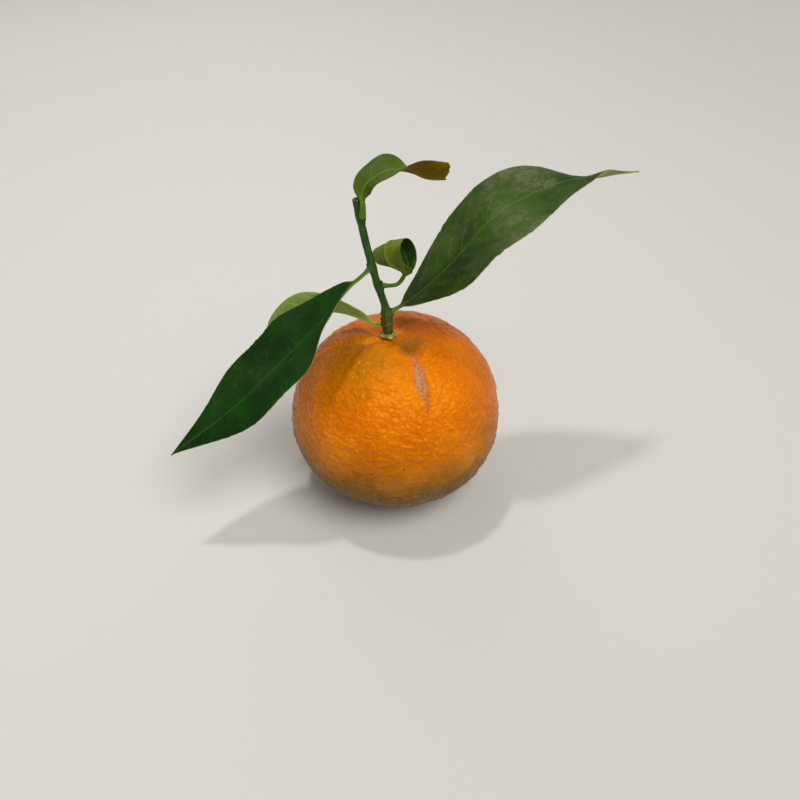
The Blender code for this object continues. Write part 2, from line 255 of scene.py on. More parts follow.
class FruitSettings(bpy.types.PropertyGroup):
    fineness: bpy.props.IntProperty(
        name="Fineness", description="Faces along each side of the rind's six patches", default=124, min=16, max=125
    )
    gland_spacing: bpy.props.FloatProperty(
        name="Gland spacing", description="Distance between oil glands", default=1.45 * MM, unit="LENGTH"
    )
    gland_depth: bpy.props.FloatProperty(
        name="Gland depth", description="How deep the grooves between glands are", default=0.17 * MM, unit="LENGTH"
    )
    orange: bpy.props.FloatVectorProperty(
        name="Orange", description="Main colour of the rind", subtype="COLOR", default=linear("#f08704")
    )
    # On the lower front this colour also stands in for painted shade
    green: bpy.props.FloatVectorProperty(
        name="Green", description="Colour where the rind is less ripe", subtype="COLOR", default=linear("#986c06")
    )


class TwigSettings(bpy.types.PropertyGroup):
    stations: bpy.props.IntProperty(name="Stations", description="Rings along the twig", default=250, min=40)
    bark_relief: bpy.props.FloatProperty(
        name="Bark relief", description="Height of the bark's ridges", default=0.05 * MM, unit="LENGTH"
    )
    green: bpy.props.FloatVectorProperty(
        name="Green", description="Colour of the young wood", subtype="COLOR", default=linear("#28540a")
    )
    bark: bpy.props.FloatVectorProperty(
        name="Bark", description="Colour of the woody foot", subtype="COLOR", default=linear("#56581c")
    )


class LeafSettings(bpy.types.PropertyGroup):
    stations: bpy.props.IntProperty(name="Stations", description="Rows along each leaf", default=230, min=30)
    across: bpy.props.IntProperty(name="Across", description="Faces across each leaf", default=40, min=6)
    thickness: bpy.props.FloatProperty(
        name="Thickness", description="Thickness of the blades", default=0.4 * MM, unit="LENGTH"
    )
    vein_spacing: bpy.props.FloatProperty(
        name="Vein spacing", description="Distance between side veins", default=5.2 * MM, unit="LENGTH"
    )


class StageSettings(bpy.types.PropertyGroup):
    floor: bpy.props.FloatVectorProperty(
        name="Floor", description="Colour of the floor", subtype="COLOR", default=linear("#d2d1ce")
    )
    key_power: bpy.props.FloatProperty(name="Key light", description="Strength of the main light", default=2.1)
    distance: bpy.props.FloatProperty(
        name="Camera distance", description="From the camera to the fruit's middle", default=217.0 * MM, unit="LENGTH"
    )


# Materials

def rind_material():
    """Clementine rind, grown and unwaxed: a satin skin full of oil glands, so small highlights break up over it."""
    settings = bpy.context.scene.clementine_fruit
    material, tree, shader = new_material("clementine rind")
    place = add_node(tree, "TexCoord", output="Object")
    # Ripeness changes every 14 mm, and the skin is mottled every 2.4 mm
    broad = add_node(tree, "TexNoise", {"Vector": place, "Scale": 1.0 / (14.3 * MM), "Detail": 4.0, "Roughness": 0.55})
    mottle = add_node(tree, "TexNoise", {"Vector": place, "Scale": 1.0 / (2.4 * MM), "Detail": 3.0, "Roughness": 0.6})

    # Patches run from deep to yellowish orange
    share = add_node(tree, "MapRange", {0: broad, 1: 0.35, 2: 0.68}, **SMOOTH)
    colour = add_node(tree, "Mix", {0: share, 6: "#e27303", 7: settings.orange}, **COLOURS)
    share = add_node(tree, "MapRange", {0: mottle, 1: 0.5, 2: 0.75, 4: 0.35}, **SMOOTH)
    colour = add_node(tree, "Mix", {0: share, 6: colour, 7: "#f2960a"}, **COLOURS)

    # The lower part is less ripe and darkened by painted shade, most of all in front; its edge wanders by several
    # millimetres
    wander = add_node(tree, "MapRange", {0: broad, 3: -8.0 * MM, 4: 8.0 * MM})
    height = add_node(tree, "SeparateXYZ", {0: place}, output="Z")
    height = add_node(tree, "Math", {0: height, 1: wander}, operation="ADD")
    low = add_node(tree, "MapRange", {0: height, 1: 44.0 * MM, 2: 17.0 * MM}, **SMOOTH)
    front = add_node(tree, "SeparateXYZ", {0: place}, output="Y")
    front = add_node(tree, "MapRange", {0: front, 1: 22.0 * MM, 2: -14.0 * MM, 3: 0.5}, **SMOOTH)
    green = add_node(tree, "Math", {0: low, 1: front}, operation="MULTIPLY")
    # Other less ripe zones, in millimetres: a place, its reach and how green it is
    for point, reach, strength in (
        ((29.0, -16.0, 26.0), 18.0, 0.6),
        ((-10.0, -8.0, 53.0), 16.0, 0.55),
        ((3.5, -4.0, 55.5), 6.5, 0.7),
    ):
        middle = tuple(v * MM for v in point)
        away = add_node(tree, "VectorMath", {0: place, 1: middle}, output="Value", operation="DISTANCE")
        away = add_node(tree, "Math", {0: away, 1: wander}, operation="ADD")
        zone = add_node(tree, "MapRange", {0: away, 1: reach * MM, 2: 0.3 * reach * MM, 4: strength}, **SMOOTH)
        green = add_node(tree, "Math", {0: green, 1: zone}, operation="MAXIMUM")
    patchy = add_node(tree, "MapRange", {0: mottle, 1: 0.3, 2: 0.62, 3: 0.9, 4: 1.03}, **SMOOTH)
    green = add_node(tree, "Math", {0: green, 1: patchy}, operation="MULTIPLY")
    colour = add_node(tree, "Mix", {0: green, 6: colour, 7: settings.green}, **COLOURS)
    # Where it is greenest, low in front, the rind turns dark olive-brown: painted shade over the less ripe colour
    share = add_node(tree, "MapRange", {0: green, 1: 0.45, 2: 1.0, 4: 0.82}, **SMOOTH)
    colour = add_node(tree, "Mix", {0: share, 6: colour, 7: "#544004"}, **COLOURS)

    # Behind the calyx the orange is redder
    behind = (4.0 * MM, 9.0 * MM, 54.0 * MM)
    away = add_node(tree, "VectorMath", {0: place, 1: behind}, output="Value", operation="DISTANCE")
    share = add_node(tree, "MapRange", {0: away, 1: 17.0 * MM, 2: 3.0 * MM, 4: 0.5}, **SMOOTH)
    colour = add_node(tree, "Mix", {0: share, 6: colour, 7: "#e26404"}, **COLOURS)

    # Painted shade darkens the grooves between glands a little
    gland = add_node(tree, "Attribute", output="Fac", attribute_name="gland")
    share = add_node(tree, "Math", {0: gland, 1: 0.35}, operation="MULTIPLY")
    colour = add_node(tree, "Mix", {0: share, 6: colour, 7: "#a85402"}, **COLOURS)

    # The scar is dry, greyish pink cork, with a dark dot every 0.75 mm where a gland was, and a reddish rim
    scar = add_node(tree, "Attribute", output="Fac", attribute_name="scar")
    dots = add_node(tree, "TexVoronoi", {"Vector": place, "Scale": 1.0 / (0.75 * MM), "Randomness": 0.8})
    share = add_node(tree, "MapRange", {0: dots, 1: 0.36, 2: 0.2}, **SMOOTH)
    cork = add_node(tree, "Mix", {0: share, 6: "#b98668", 7: "#5e2c12"}, **COLOURS)
    share = add_node(tree, "MapRange", {0: mottle, 1: 0.25, 2: 0.5, 3: 0.5, 4: 0.85}, **SMOOTH)
    share = add_node(tree, "Math", {0: scar, 1: share}, operation="MULTIPLY")
    colour = add_node(tree, "Mix", {0: share, 6: colour, 7: cork}, **COLOURS)
    share = add_node(tree, "Math", {0: 1.2, 1: scar}, operation="MULTIPLY")
    inside = add_node(tree, "Math", {0: 1.0, 1: scar}, operation="SUBTRACT")
    share = add_node(tree, "Math", {0: share, 1: inside}, operation="MULTIPLY")
    colour = add_node(tree, "Mix", {0: share, 6: colour, 7: "#d05808"}, **COLOURS)

    # Painted shade darkens the crease beside it
    crease = add_node(tree, "Attribute", output="Fac", attribute_name="crease")
    share = add_node(tree, "Math", {0: crease, 1: 0.55}, operation="MULTIPLY")
    colour = add_node(tree, "Mix", {0: share, 6: colour, 7: "#8f4a06"}, **COLOURS)

    # Dark specks 0.5 mm wide, one every 7.5 mm
    specks = add_node(tree, "TexVoronoi", {"Vector": place, "Scale": 1.0 / (7.5 * MM), "Randomness": 1.0})
    share = add_node(tree, "MapRange", {0: specks, 1: 0.055, 2: 0.03, 4: 0.75}, **SMOOTH)
    colour = add_node(tree, "Mix", {0: share, 6: colour, 7: "#5a3208"}, **COLOURS)
    tree.links.new(colour, shader.inputs["Base Color"])

    # Pores every 0.6 mm and small pebbles every 1.1 mm, flattened by the wrinkles
    flat = add_node(tree, "Mapping", {"Vector": place, "Scale": (1.0, 1.0, 1.35)})
    pores = add_node(tree, "TexNoise", {"Vector": flat, "Scale": 1.0 / (0.6 * MM), "Detail": 3.0, "Roughness": 0.6})
    pebbles = add_node(
        tree, "TexVoronoi", {"Vector": flat, "Scale": 1.0 / (1.1 * MM), "Smoothness": 0.3}, feature="SMOOTH_F1"
    )
    relief = add_node(tree, "Math", {0: pores, 1: 0.5}, operation="MULTIPLY")
    relief = add_node(tree, "Math", {0: pebbles, 1: -0.75, 2: relief}, operation="MULTIPLY_ADD")
    bump = add_node(tree, "Bump", {"Height": relief, "Strength": 0.9, "Distance": 0.32 * MM})
    tree.links.new(bump, shader.inputs["Normal"])
    rough = add_node(tree, "MapRange", {0: mottle, 1: 0.3, 2: 0.7, 3: 0.16, 4: 0.24}, **SMOOTH)
    rough = add_node(tree, "Math", {0: scar, 1: 0.35, 2: rough}, operation="MULTIPLY_ADD")
    tree.links.new(rough, shader.inputs["Roughness"])
    shader.inputs["IOR"].default_value = 1.46
    shader.inputs["Specular IOR Level"].default_value = 0.3
    # Light that glances off the oily skin comes back golden
    shader.inputs["Specular Tint"].default_value = (*linear("#ffcf70"), 1.0)
    # Light goes about a millimetre into the skin
    shader.inputs["Subsurface Weight"].default_value = 0.05
    shader.inputs["Subsurface Radius"].default_value = (1.0, 0.35, 0.08)
    shader.inputs["Subsurface Scale"].default_value = 1.0 * MM
    return material


def calyx_material():
    """Calyx, a dry green button: matte, pale on its lobes, with painted shade in dark olive-brown under it and in its
    crevices.
    """
    material, tree, shader = new_material("calyx skin")
    place = add_node(tree, "TexCoord", output="Object")
    # The skin's grain is 1.1 mm
    grain = add_node(tree, "TexNoise", {"Vector": place, "Scale": 1.0 / (1.1 * MM), "Detail": 4.0})
    share = add_node(tree, "MapRange", {0: grain, 1: 0.35, 2: 0.65}, **SMOOTH)
    colour = add_node(tree, "Mix", {0: share, 6: "#8a9226", 7: "#b2b64a"}, **COLOURS)
    # Painted shade under the button, round its dome and between its lobes
    deep = add_node(tree, "Attribute", output="Fac", attribute_name="deep")
    colour = add_node(tree, "Mix", {0: deep, 6: colour, 7: "#3f3c10"}, **COLOURS)
    tree.links.new(colour, shader.inputs["Base Color"])
    bump = add_node(tree, "Bump", {"Height": grain, "Strength": 0.5, "Distance": 0.1 * MM})
    tree.links.new(bump, shader.inputs["Normal"])
    shader.inputs["Roughness"].default_value = 0.55
    return material


def twig_material():
    """Young citrus wood: smooth green skin above, dull brown bark with pale corky flecks at the foot."""
    settings = bpy.context.scene.clementine_twig
    material, tree, shader = new_material("twig skin and bark")
    place = add_node(tree, "TexCoord", output="Object")
    # Fibres 0.6 mm apart run along the twig, so their pattern is stretched six times that way
    along = add_node(tree, "Mapping", {"Vector": place, "Scale": (1.0, 1.0, 0.16)})
    fibre = add_node(tree, "TexNoise", {"Vector": along, "Scale": 1.0 / (0.62 * MM), "Detail": 4.0})
    # Patches of colour are 2 mm wide, and the bark has a corky fleck every 0.6 mm
    patch = add_node(tree, "TexNoise", {"Vector": place, "Scale": 1.0 / (2.0 * MM), "Detail": 3.0})
    flecks = add_node(tree, "TexVoronoi", {"Vector": place, "Scale": 1.0 / (0.62 * MM)})
    # The bark ends between 63 and 71 mm up, at a height that wanders
    height = add_node(tree, "SeparateXYZ", {0: place}, output="Z")
    height = add_node(tree, "Math", {0: patch, 1: 6.0 * MM, 2: height}, operation="MULTIPLY_ADD")
    woody = add_node(tree, "MapRange", {0: height, 1: 71.0 * MM, 2: 63.0 * MM}, **SMOOTH)

    share = add_node(tree, "MapRange", {0: fibre, 1: 0.35, 2: 0.7}, **SMOOTH)
    green = add_node(tree, "Mix", {0: share, 6: "#1a3c05", 7: settings.green}, **COLOURS)
    share = add_node(tree, "MapRange", {0: patch, 1: 0.5, 2: 0.7, 4: 0.5}, **SMOOTH)
    green = add_node(tree, "Mix", {0: share, 6: green, 7: "#456e18"}, **COLOURS)
    share = add_node(tree, "MapRange", {0: fibre, 1: 0.35, 2: 0.65}, **SMOOTH)
    bark = add_node(tree, "Mix", {0: share, 6: "#2f3a0e", 7: settings.bark}, **COLOURS)
    share = add_node(tree, "MapRange", {0: flecks, 1: 0.34, 2: 0.18, 4: 0.75}, **SMOOTH)
    bark = add_node(tree, "Mix", {0: share, 6: bark, 7: "#a3a25c"}, **COLOURS)
    colour = add_node(tree, "Mix", {0: woody, 6: green, 7: bark}, **COLOURS)
    tree.links.new(colour, shader.inputs["Base Color"])

    ridges = add_node(tree, "MapRange", {0: woody, 3: 0.35}, **SMOOTH)
    ridges = add_node(tree, "Math", {0: fibre, 1: ridges}, operation="MULTIPLY")
    bump = add_node(tree, "Bump", {"Height": ridges, "Strength": 0.8, "Distance": 0.15 * MM})
    tree.links.new(bump, shader.inputs["Normal"])
    rough = add_node(tree, "MapRange", {0: woody, 3: 0.42, 4: 0.7}, **SMOOTH)
    tree.links.new(rough, shader.inputs["Roughness"])
    shader.inputs["Specular IOR Level"].default_value = 0.3
    return material


def cut_wood_material():
    """Cut wood a few days old: dark and dry, with a paler ring of wood round the pith."""
    material, tree, shader = new_material("dried cut wood")
    place = add_node(tree, "TexCoord", output="Object")
    # The grain is 0.4 mm, coarser than real pores, which would be too fine to show
    grain = add_node(tree, "TexNoise", {"Vector": place, "Scale": 1.0 / (0.4 * MM), "Detail": 3.0})
    share = add_node(tree, "MapRange", {0: grain, 1: 0.35, 2: 0.7}, **SMOOTH)
    colour = add_node(tree, "Mix", {0: share, 6: "#2f2a16", 7: "#6b6238"}, **COLOURS)
    tree.links.new(colour, shader.inputs["Base Color"])
    shader.inputs["Roughness"].default_value = 0.8
    return material


def leaf_material(name, deep, light, vein, petiole, roughness, speckle, vein_share, sheen_and_tip_shade, gloss):
    """Citrus leaf skin, smooth and waxy above and dull below, with a midrib, side veins and a net between them.

    deep and light are the blade's two greens, vein is the midrib's colour and petiole the stalk's."""
    settings = bpy.context.scene.clementine_leaves
    material, tree, shader = new_material(name)
    place = add_node(tree, "TexCoord", output="Object")
    # The leaf's map is in hundredths of its millimetres: along the leaf, and across it with the midrib at 0.5
    leaf_map = add_node(tree, "UVMap", uv_map="leaf_mm")
    along = add_node(tree, "SeparateXYZ", {0: leaf_map}, output="X")
    along = add_node(tree, "Math", {0: along, 1: 100.0}, operation="MULTIPLY")
    across = add_node(tree, "SeparateXYZ", {0: leaf_map}, output="Y")
    across = add_node(tree, "MapRange", {0: across, 3: -50.0, 4: 50.0})
    off_rib = add_node(tree, "Math", {0: across}, operation="ABSOLUTE")
    # Patches of colour are 10 mm wide, patches of painted sheen 16 mm, and the skin's crinkles 1.6 mm
    broad = add_node(tree, "TexNoise", {"Vector": place, "Scale": 1.0 / (10.5 * MM), "Detail": 4.0})
    cloud = add_node(tree, "TexNoise", {"Vector": place, "Scale": 1.0 / (16.0 * MM), "Detail": 5.0, "Roughness": 0.62})
    crinkle = add_node(
        tree,
        "TexNoise",
        {"Vector": place, "Scale": 1.0 / (1.6 * MM), "Detail": 5.0, "Roughness": 0.65, "Distortion": 0.6},
    )

    # Side veins leave the midrib at a slant, bend towards the tip and waver, and the two sides' take turns
    bend = add_node(tree, "Math", {0: off_rib, 1: -VEIN_BEND, 2: -VEIN_SLANT}, operation="MULTIPLY_ADD")
    course = add_node(tree, "Math", {0: off_rib, 1: bend, 2: along}, operation="MULTIPLY_ADD")
    course = add_node(tree, "Math", {0: broad, 1: 3.0, 2: course}, operation="MULTIPLY_ADD")
    side = add_node(tree, "Math", {0: across}, operation="SIGN")
    course = add_node(tree, "Math", {0: side, 1: VEIN_STAGGER, 2: course}, operation="MULTIPLY_ADD")
    phase = add_node(tree, "Math", {0: course, 1: settings.vein_spacing / MM}, operation="DIVIDE")
    phase = add_node(tree, "Math", {0: phase}, operation="FRACT")
    off_vein = add_node(tree, "Math", {0: phase, 1: 0.5}, operation="SUBTRACT")
    off_vein = add_node(tree, "Math", {0: off_vein}, operation="ABSOLUTE")
    side_vein = add_node(tree, "MapRange", {0: off_vein, 1: 0.055, 2: 0.0}, **SMOOTH)
    midrib = add_node(tree, "MapRange", {0: off_rib, 1: 0.4, 2: 0.1, 4: 0.85}, **SMOOTH)
    # The net of fine veins between them has meshes of 1.1 mm
    net = add_node(tree, "TexVoronoi", {"Vector": place, "Scale": 1.0 / (1.1 * MM)}, feature="DISTANCE_TO_EDGE")
    net_line = add_node(tree, "MapRange", {0: net, 1: 0.09, 2: 0.0}, **SMOOTH)

    share = add_node(tree, "MapRange", {0: broad, 1: 0.35, 2: 0.65}, **SMOOTH)
    colour = add_node(tree, "Mix", {0: share, 6: deep, 7: light}, **COLOURS)
    # Hair-fine streaks run outwards from the midrib, 0.42 mm apart and 4.5 mm long
    streaks = add_node(tree, "Mapping", {"Vector": leaf_map, "Scale": (100.0 / 0.42, 100.0 / 4.5, 1.0)})
    streaks = add_node(
        tree, "TexNoise", {"Vector": streaks, "Scale": 1.0, "Detail": 4.0, "Roughness": 0.7, "Distortion": 0.4}
    )
    share = add_node(tree, "MapRange", {0: streaks, 1: 0.52, 2: 0.72, 4: 0.28}, **SMOOTH)
    colour = add_node(tree, "Mix", {0: share, 6: colour, 7: vein}, **COLOURS)
    # A greyish painted sheen lies most of all 47 mm along, and painted shade darkens the tip
    painted_sheen = add_node(tree, "MapRange", {0: cloud, 1: 0.42, 2: 0.64, 4: sheen_and_tip_shade}, **SMOOTH)
    off_sheen_middle = add_node(tree, "Math", {0: along, 1: 47.0}, operation="SUBTRACT")
    off_sheen_middle = add_node(tree, "Math", {0: off_sheen_middle}, operation="ABSOLUTE")
    share = add_node(tree, "MapRange", {0: off_sheen_middle, 1: 17.0, 2: 4.0, 3: 0.35}, **SMOOTH)
    painted_sheen = add_node(tree, "Math", {0: painted_sheen, 1: share}, operation="MULTIPLY")
    share = add_node(tree, "MapRange", {0: crinkle, 1: 0.35, 2: 0.62, 3: 0.35, 4: 1.1}, **SMOOTH)
    painted_sheen = add_node(tree, "Math", {0: painted_sheen, 1: share}, operation="MULTIPLY")
    colour = add_node(tree, "Mix", {0: painted_sheen, 6: colour, 7: "#6f7450"}, **COLOURS)
    share = add_node(tree, "MapRange", {0: along, 1: 54.0, 2: 66.0, 4: sheen_and_tip_shade}, **SMOOTH)
    colour = add_node(tree, "Mix", {0: share, 6: colour, 7: "#0c2004"}, **COLOURS)
    # The net, the side veins and the midrib, from faint to clear
    share = add_node(tree, "Math", {0: net_line, 1: 0.22 * vein_share}, operation="MULTIPLY")
    colour = add_node(tree, "Mix", {0: share, 6: colour, 7: vein}, **COLOURS)
    share = add_node(tree, "Math", {0: side_vein, 1: 0.55 * vein_share}, operation="MULTIPLY")
    colour = add_node(tree, "Mix", {0: share, 6: colour, 7: vein}, **COLOURS)
    share = add_node(tree, "MapRange", {0: crinkle, 1: 0.3, 2: 0.6, 3: 0.45}, **SMOOTH)
    share = add_node(tree, "Math", {0: midrib, 1: share}, operation="MULTIPLY")
    colour = add_node(tree, "Mix", {0: share, 6: colour, 7: vein}, **COLOURS)
    # Pale specks of oil glands and dust, 0.3 mm wide, lie in the same patches as the painted sheen
    specks = add_node(tree, "TexVoronoi", {"Vector": place, "Scale": 1.0 / (1.3 * MM)})
    speck = add_node(tree, "MapRange", {0: specks, 1: 0.16, 2: 0.05}, **SMOOTH)
    share = add_node(tree, "MapRange", {0: crinkle, 1: 0.5, 2: 0.64, 4: speckle}, **SMOOTH)
    speck = add_node(tree, "Math", {0: speck, 1: share}, operation="MULTIPLY")
    share = add_node(tree, "MapRange", {0: cloud, 1: 0.35, 2: 0.6, 3: 0.2}, **SMOOTH)
    speck = add_node(tree, "Math", {0: speck, 1: share}, operation="MULTIPLY")
    colour = add_node(tree, "Mix", {0: speck, 6: colour, 7: "#9db07a"}, **COLOURS)
    # The thin margin and the stalk are paler
    margin = add_node(tree, "Attribute", output="Fac", attribute_name="margin")
    share = add_node(tree, "MapRange", {0: margin, 1: 0.965, 4: 0.5}, **SMOOTH)
    colour = add_node(tree, "Mix", {0: share, 6: colour, 7: petiole}, **COLOURS)
    stalk = add_node(tree, "Attribute", output="Fac", attribute_name="stalk")
    colour = add_node(tree, "Mix", {0: stalk, 6: colour, 7: petiole}, **COLOURS)
    tree.links.new(colour, shader.inputs["Base Color"])

    # The skin crinkles, and sinks over the veins
    relief = add_node(tree, "Math", {0: crinkle, 1: 1.1}, operation="MULTIPLY")
    relief = add_node(tree, "Math", {0: side_vein, 1: -0.6, 2: relief}, operation="MULTIPLY_ADD")
    relief = add_node(tree, "Math", {0: net_line, 1: -0.25, 2: relief}, operation="MULTIPLY_ADD")
    bump = add_node(tree, "Bump", {"Height": relief, "Strength": 0.7, "Distance": 0.16 * MM})
    tree.links.new(bump, shader.inputs["Normal"])
    rough = {0: crinkle, 1: 0.3, 2: 0.7, 3: roughness - 0.06, 4: roughness + 0.1}
    tree.links.new(add_node(tree, "MapRange", rough, **SMOOTH), shader.inputs["Roughness"])
    shader.inputs["IOR"].default_value = 1.45
    shader.inputs["Specular IOR Level"].default_value = gloss
    return material


def floor_material():
    """Matte painted board: a plain pale ground with no shine, so that only the soft shadow shows on it."""
    material, tree, shader = new_material("painted board")
    place = add_node(tree, "TexCoord", output="Object")
    # The paint's tone changes every 333 mm
    cloud = add_node(tree, "TexNoise", {"Vector": place, "Scale": 1.0 / (333.0 * MM), "Detail": 2.0})
    share = add_node(tree, "MapRange", {0: cloud, 1: 0.3, 2: 0.7}, **SMOOTH)
    floor = bpy.context.scene.clementine_stage.floor
    darker = tuple(0.985 * v for v in floor)
    colour = add_node(tree, "Mix", {0: share, 6: floor, 7: darker}, **COLOURS)
    tree.links.new(colour, shader.inputs["Base Color"])
    shader.inputs["Roughness"].default_value = 0.85
    shader.inputs["Specular IOR Level"].default_value = 0.2
    return material


# Forms

def distance_to_line(points, line, widths=None):
    """How far each point is from a line of knots, and the line's width there."""
    best = np.full(len(points), 1e9)
    width = np.zeros(len(points))
    for i in range(len(line) - 1):
        start = np.array(line[i])
        step = np.array(line[i + 1]) - start
        share = np.clip(((points - start) @ step) / (step @ step), 0.0, 1.0)
        away = np.linalg.norm(points - start - share[:, None] * step, axis=1)
        nearer = away < best
        best[nearer] = away[nearer]
        if widths:
            local = widths[i] + (widths[i + 1] - widths[i]) * share
            width[nearer] = local[nearer]
    return best, width


def fruit_points(directions):
    """Where the smooth rind is, for unit directions from the fruit's centre."""
    level = np.hypot(directions[:, 0], directions[:, 1])
    spread = level**FRUIT_FULLNESS / np.maximum(level, 1e-9)
    points = np.column_stack(
        [
            directions[:, 0] * spread * FRUIT_RADIUS,
            directions[:, 1] * spread * FRUIT_RADIUS,
            FRUIT_CENTRE_Z + FRUIT_HALF_HEIGHT * directions[:, 2],
        ]
    )
    for toward, proud, width in PRESSES:
        toward = np.array(toward) / np.linalg.norm(toward)
        angle = np.degrees(np.arccos(np.clip(directions @ toward, -1.0, 1.0)))
        points += directions * (proud * np.exp(-((angle / width) ** 2)))[:, None]
    away = np.hypot(points[:, 0] - STEM_END[0], points[:, 1])
    around = np.arctan2(points[:, 1], points[:, 0] - STEM_END[0])
    top = directions[:, 2] > 0.0
    dip = DIMPLE_DEPTH * np.exp(-((away / DIMPLE_RADIUS) ** 2))
    ring = FURROW_DEPTH * np.exp(-(((away - FURROW_RADIUS) / FURROW_SPREAD) ** 2))
    dip += ring * (0.5 + 0.5 * np.cos(FURROWS * around))
    points[:, 2] -= np.where(top, dip, 0.0)
    return points


def rind_relief(points, spacing, depth):
    """How far the rind stands in or out of its smooth form, and how near each point is to a groove between glands."""
    relief = np.zeros(len(points))
    glands = np.zeros(len(points))
    for i, point in enumerate(points):
        p = Vector(point)
        # Low swells 8.5 and 4.1 mm across
        height = 0.28 * noise.noise(p / 8.5) + 0.14 * noise.noise(p / 4.1 + Vector((7.0, 3.0, 1.0)))
        # Wrinkles lie level round the fruit, about 2.5 mm long and 1.2 mm apart
        height += 0.32 * noise.noise(Vector((p.x / 2.2, p.y / 2.2, p.z / 1.15)))
        # Each gland swells into a pebble, with a groove where it meets the next ones
        first, second = noise.voronoi(Vector((p.x, p.y, 1.25 * p.z)) / spacing)[0][:2]
        glands[i] = math.exp(-(((second - first) / 0.22) ** 2))
        relief[i] = height - depth * glands[i]
    return relief, glands


class CLEMENTINE_OT_fruit(bpy.types.Operator):
    """Builds the fruit: the rind with its glands, furrows, scar and flat"""

    bl_idname = "clementine.fruit"
    bl_label = "Fruit"

    def execute(self, context):
        settings = context.scene.clementine_fruit
        bm = bmesh.new()
        bmesh.ops.create_cube(bm, size=2.0)
        bmesh.ops.subdivide_edges(bm, edges=bm.edges[:], cuts=settings.fineness - 1, use_grid_fill=True)
        cube = np.array([vertex.co for vertex in bm.verts])
        # The tangent spreads the six patches evenly over the ball
        directions = np.tan(cube * math.pi / 4.0)
        directions /= np.linalg.norm(directions, axis=1)[:, None]
        smooth = fruit_points(directions)

        scar_away, scar_width = distance_to_line(smooth, SCAR_LINE, SCAR_WIDTHS)
        ragged = np.array([noise.noise(Vector(p) / 1.2) for p in smooth])
        # The scar's edge is ragged by about 0.7 mm, and fades over 0.9 mm
        scar = smooth_step((scar_width + 0.7 * ragged - scar_away) / 0.9 + 0.5)
        crease_away, _ = distance_to_line(smooth, CREASE_LINE)
        crease = np.exp(-((crease_away / 0.55) ** 2))
        fold_away, _ = distance_to_line(smooth, FOLD_LINE)

        relief, glands = rind_relief(smooth, settings.gland_spacing / MM, settings.gland_depth / MM)
        relief *= 1.0 - 0.75 * scar
        relief -= 0.15 * scar + 0.42 * crease + 0.14 * np.exp(-((crease_away / 1.8) ** 2))
        relief -= 0.45 * np.exp(-((fold_away / 3.0) ** 2))
        # Puckers round the calyx run outwards from it
        away = np.hypot(smooth[:, 0] - STEM_END[0], smooth[:, 1])
        around = np.arctan2(smooth[:, 1], smooth[:, 0] - STEM_END[0])
        near = np.exp(-((away / 10.5) ** 2)) * (directions[:, 2] > 0.0)
        pucker = np.array(
            [noise.noise(Vector((2.1 * math.cos(a), 2.1 * math.sin(a), 0.16 * r))) for a, r in zip(around, away)]
        )
        relief += 0.9 * pucker * near * smooth_step((away - 2.0) / 2.5)
        # The relief dies out on the flat, and the dry point where the flower was is a small hollow in it
        low = smooth_step((smooth[:, 2] - 0.2) / 2.0)
        shaped = smooth + directions * (relief * low)[:, None]
        shaped[:, 2] = np.maximum(shaped[:, 2], 0.0)
        under = np.hypot(smooth[:, 0], smooth[:, 1])
        shaped[:, 2] += np.where(directions[:, 2] < 0.0, 0.5 * np.exp(-((under / 1.3) ** 2)), 0.0)

        scar_layer = bm.verts.layers.float.new("scar")
        crease_layer = bm.verts.layers.float.new("crease")
        gland_layer = bm.verts.layers.float.new("gland")
        for vertex, place, in_scar, in_crease, in_gland in zip(bm.verts, shaped, scar, crease, glands):
            vertex.co = place
            vertex[gland_layer] = in_gland
            vertex[scar_layer] = in_scar
            vertex[crease_layer] = in_crease * (1.0 - in_scar)
        new_piece("clementine_fruit", bm, [rind_material()], "fruit", 180.0)
        return {"FINISHED"}


class CLEMENTINE_OT_calyx(bpy.types.Operator):
    """Builds the calyx: a five-lobed button that grips the twig"""

    bl_idname = "clementine.calyx"
    bl_label = "Calyx"

    def execute(self, context):
        bm = bmesh.new()
        bmesh.ops.create_uvsphere(bm, u_segments=150, v_segments=48, radius=1.0)
        calyx_shade_layer = bm.verts.layers.float.new("deep")
        for vertex in bm.verts:
            around = math.atan2(vertex.co.y, vertex.co.x)
            level = math.hypot(vertex.co.x, vertex.co.y)
            height = vertex.co.z
            lobe = 0.5 + 0.5 * math.cos(CALYX_LOBES * around)
            unlike = 0.12 * noise.noise(Vector((math.cos(around), math.sin(around), 3.0)))
            reach = CALYX_REACH * (0.86 + 0.22 * lobe**0.7 + unlike) * level**0.6
            # The button rises to the twig in the middle, and each lobe has a low keel and a curled-up rim
            lift = 0.5 * height
            if height > 0.0:
                lift += 0.85 * math.exp(-((reach / 1.8) ** 4))
                lift += 0.08 * lobe * math.exp(-(((reach - 2.0) / 0.4) ** 2))
            lift += 0.07 * noise.noise(Vector((reach * math.cos(around), reach * math.sin(around), height)) * 2.4)
            across, out = reach * math.cos(around), CALYX_SQUEEZE * reach * math.sin(around)
            vertex.co = (STEM_END[0] + across, out, CALYX_Z + lift)
            # Painted shade: under the button, in the ring where its dome meets the lobes, and between the lobes
            ring = math.exp(-(((reach - 1.85) / 0.22) ** 2))
            below = 0.0 if height > -0.1 else 0.8
            between = 0.5 * (1.0 - lobe) * smooth_step((reach - 1.6) / 0.6)
            vertex[calyx_shade_layer] = max(below, 0.55 * ring, between)
        new_piece("clementine_calyx", bm, [calyx_material()], "calyx", 180.0)
        return {"FINISHED"}


def stem_axis(height):
    """The twig's middle at a height."""
    heights = [point[2] for point in STEM_LINE]
    return Vector((float(np.interp(height, heights, [point[0] for point in STEM_LINE])), 0.0, height))


